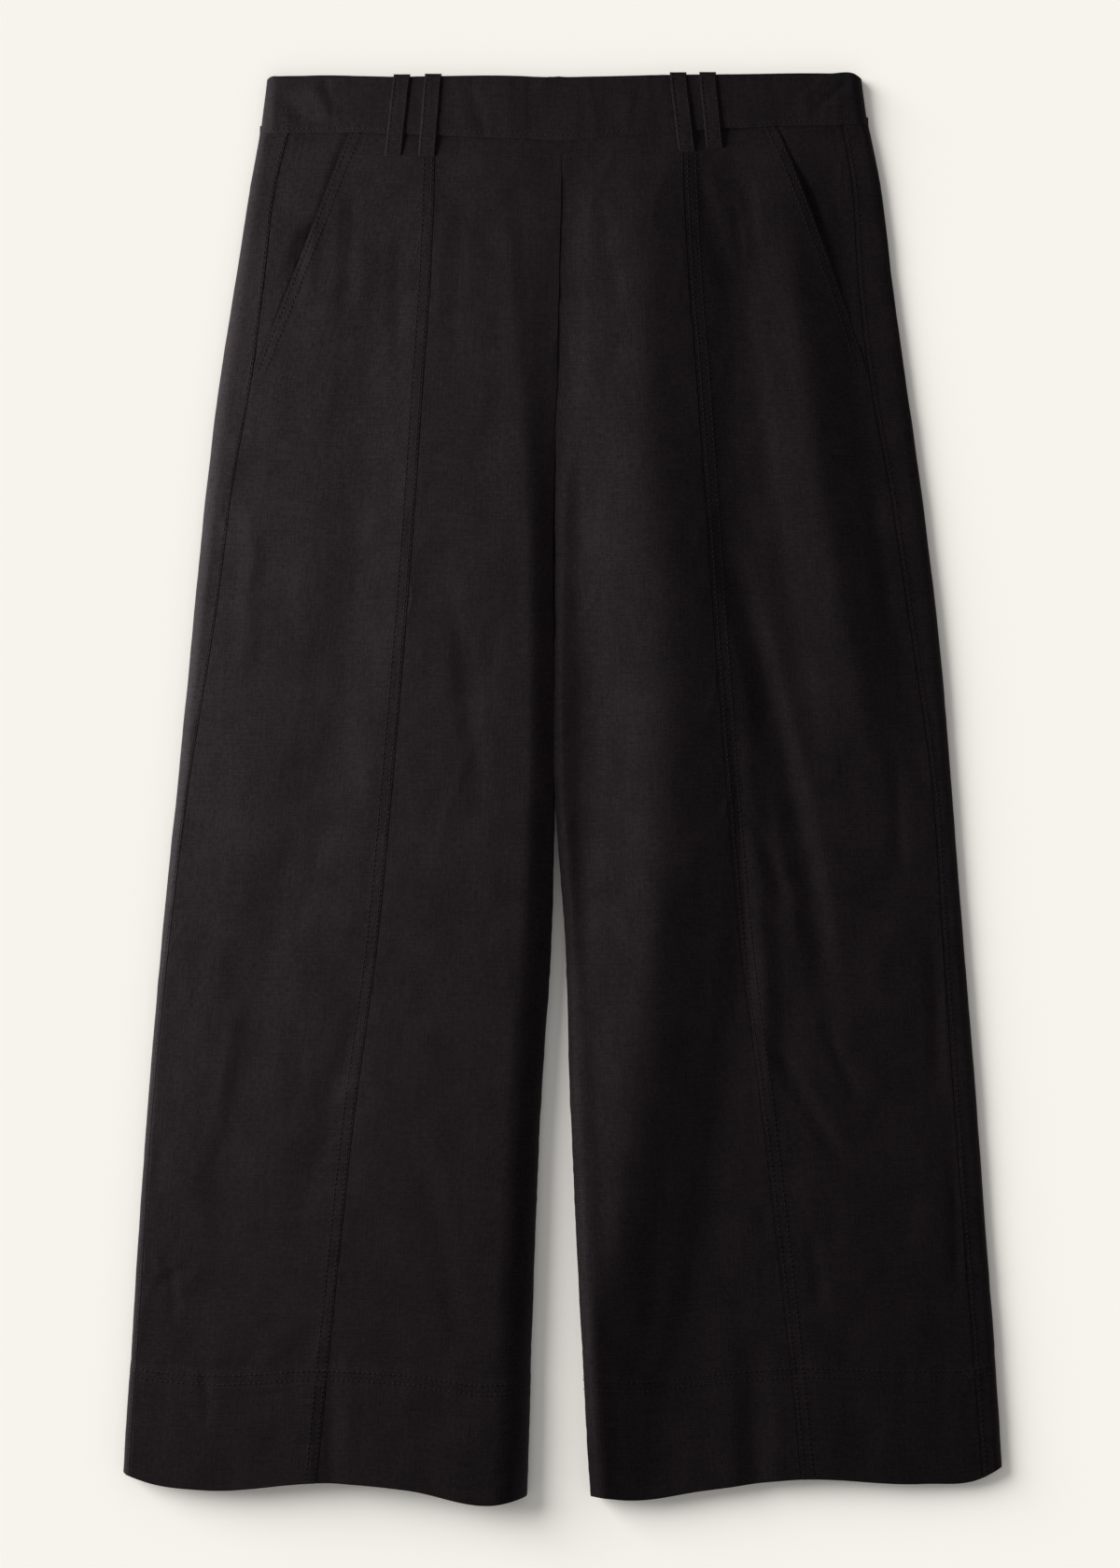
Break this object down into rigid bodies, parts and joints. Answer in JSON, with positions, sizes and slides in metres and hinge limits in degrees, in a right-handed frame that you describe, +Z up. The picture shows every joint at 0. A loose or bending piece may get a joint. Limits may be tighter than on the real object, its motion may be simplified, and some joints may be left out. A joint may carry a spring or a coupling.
{
  "type": "linen culottes laid flat",
  "caption": "Wide-legged, calf-length culottes of black linen laid flat, front up, with an elasticated back waist, slanted pockets and paired belt loops.",
  "frame": {"origin": "middle of the surface that the laid garment covers, at the height of that surface", "axes": "+Y along the length from the hems to the waist, +Z up out of the front of the garment, +X to the right as seen from above"},
  "size_m": [0.5358, 0.8766, 0.0213],
  "materials": {
    "linen_panels": "washed plain-weave linen, matt, with slubs",
    "linen_facings": "washed plain-weave linen, matt, with slubs",
    "linen_waistband": "doubled, interfaced linen, matt",
    "linen_over_elastic": "linen gathered over a wide elastic, matt",
    "linen_loops": "folded and edge-stitched linen, matt",
    "thread": "spun polyester sewing thread, slight sheen"
  },
  "bodies": {
    "root": {"front_centre_left": "linen_panels", "front_centre_right": "linen_panels", "front_side_left": "linen_panels", "front_side_right": "linen_panels", "back_left": "linen_panels", "back_right": "linen_panels", "pocket_facing_left": "linen_facings", "pocket_facing_right": "linen_facings", "waistband_front": "linen_waistband", "waistband_back": "linen_over_elastic", "belt_loop_1": "linen_loops", "belt_loop_2": "linen_loops", "belt_loop_3": "linen_loops", "belt_loop_4": "linen_loops"}
  },
  "joints": []
}
